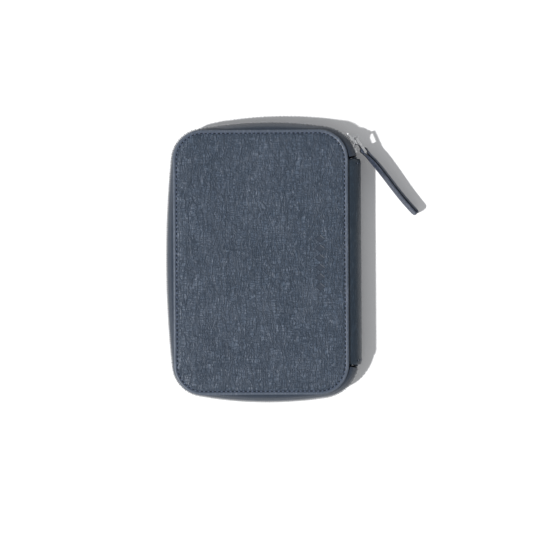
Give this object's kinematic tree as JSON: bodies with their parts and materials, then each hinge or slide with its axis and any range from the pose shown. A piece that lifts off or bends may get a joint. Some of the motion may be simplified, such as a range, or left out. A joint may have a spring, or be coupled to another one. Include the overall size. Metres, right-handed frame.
{
  "type": "long zip-around wallet",
  "caption": "Long rectangular zip-around wallet in grained leather with a metal zip, side pull, card pockets and an inner zipped coin pocket.",
  "frame": {"origin": "centre of the back cover's flat outer face", "axes": "+Z from the back cover to the front cover, +Y along the spine, +X towards the spine"},
  "size_m": [0.1718, 0.1894, 0.026],
  "materials": {
    "grained_leather": "fine cross-grained calf leather, semi-matte",
    "pocket_leather": "smooth thin calf leather",
    "sewing_thread": "waxed polyester thread",
    "polished_zip_metal": "polished silver-tone metal",
    "zip_tape": "woven twill tape",
    "foam": "thin foam sheet",
    "fibre_board": "pressed fibre board",
    "lining_fabric": "plain woven lining"
  },
  "bodies": {
    "back_cover": {"back_cover_leather": "grained_leather", "back_cover_padding": "foam", "back_cover_board": "fibre_board", "back_cover_lining": "lining_fabric", "back_cover_thread": "sewing_thread", "back_slip_pocket": "pocket_leather", "back_card_strip_1": "pocket_leather", "back_card_strip_2": "pocket_leather", "back_card_strip_3": "pocket_leather", "back_pocket_thread": "sewing_thread", "zip_tape_lower": "zip_tape", "zip_teeth_lower": "polished_zip_metal", "zip_top_stop_lower": "polished_zip_metal", "spine_lower_flange": "grained_leather"},
    "spine": {"spine_panel": "grained_leather", "spine_lining": "lining_fabric", "spine_hem_thread": "sewing_thread", "zip_end_tab_top": "zip_tape", "zip_end_tab_bottom": "zip_tape", "coin_back_wall": "lining_fabric", "coin_front_wall": "lining_fabric", "coin_gusset": "lining_fabric", "coin_tape_lower": "zip_tape", "coin_tape_upper": "zip_tape", "coin_teeth": "polished_zip_metal"},
    "front_cover": {"front_cover_leather": "grained_leather", "front_cover_padding": "foam", "front_cover_board": "fibre_board", "front_cover_lining": "lining_fabric", "front_cover_thread": "sewing_thread", "front_slip_pocket": "pocket_leather", "front_card_strip_1": "pocket_leather", "front_card_strip_2": "pocket_leather", "front_card_strip_3": "pocket_leather", "front_pocket_thread": "sewing_thread", "zip_tape_upper": "zip_tape", "zip_tape_upper_end": "zip_tape", "zip_teeth_upper": "polished_zip_metal", "zip_teeth_upper_end": "polished_zip_metal", "zip_top_stop_upper": "polished_zip_metal", "spine_upper_flange": "grained_leather"},
    "zip_slider": {"slider_body": "polished_zip_metal", "slider_bail": "polished_zip_metal"},
    "puller": {"puller_link": "polished_zip_metal"},
    "pull_tab": {"pull_tab_leather": "grained_leather", "pull_tab_thread": "sewing_thread"},
    "coin_slider": {"coin_slider": "polished_zip_metal"},
    "coin_puller": {"coin_puller": "polished_zip_metal"}
  },
  "joints": [
    {"name": "spine_fold", "type": "hinge", "parent": "back_cover", "child": "spine", "pos_m": [0.065, 0, 0.005], "axis": [0, 1, 0], "range_deg": [0, 90]},
    {"name": "cover_fold", "type": "hinge", "parent": "spine", "child": "front_cover", "pos_m": [0.065, 0, 0.021], "axis": [0, 1, 0], "range_deg": [0, 90], "deforming": ["zip_tape_upper_end", "zip_teeth_upper_end", "zip_top_stop_upper"]},
    {"name": "zip_travel", "type": "hinge", "parent": "back_cover", "child": "zip_slider", "pos_m": [0.04, 0.066, 0.013], "axis": [0, 0, 1], "range_deg": [0, 39.5], "deforming": ["zip_teeth_lower", "zip_tape_lower"]},
    {"name": "puller_swing", "type": "hinge", "parent": "zip_slider", "child": "puller", "pos_m": [0.06449, 0.08323, 0.013], "axis": [0, 0, 1], "range_deg": [0, 111]},
    {"name": "tab_swing", "type": "hinge", "parent": "puller", "child": "pull_tab", "pos_m": [0.06993, 0.07515, 0.01075], "axis": [0, 0, 1], "range_deg": [-15, 45]},
    {"name": "coin_slide", "type": "slide", "parent": "spine", "child": "coin_slider", "axis": [0, -1, 0], "range_m": [0, 0.12], "deforming": ["coin_teeth"]},
    {"name": "coin_pull_swing", "type": "hinge", "parent": "coin_slider", "child": "coin_puller", "pos_m": [-0.0534, 0.067, 0.013], "axis": [0, 0, 1], "range_deg": [-8, 3]}
  ],
  "couplings": [
    {"joint": "cover_fold", "follows": "spine_fold", "ratio": 1},
    {"joint": "zip_travel", "follows": "spine_fold", "ratio": 0.43333},
    {"joint": "puller_swing", "follows": "spine_fold", "ratio": 1.2222}
  ]
}
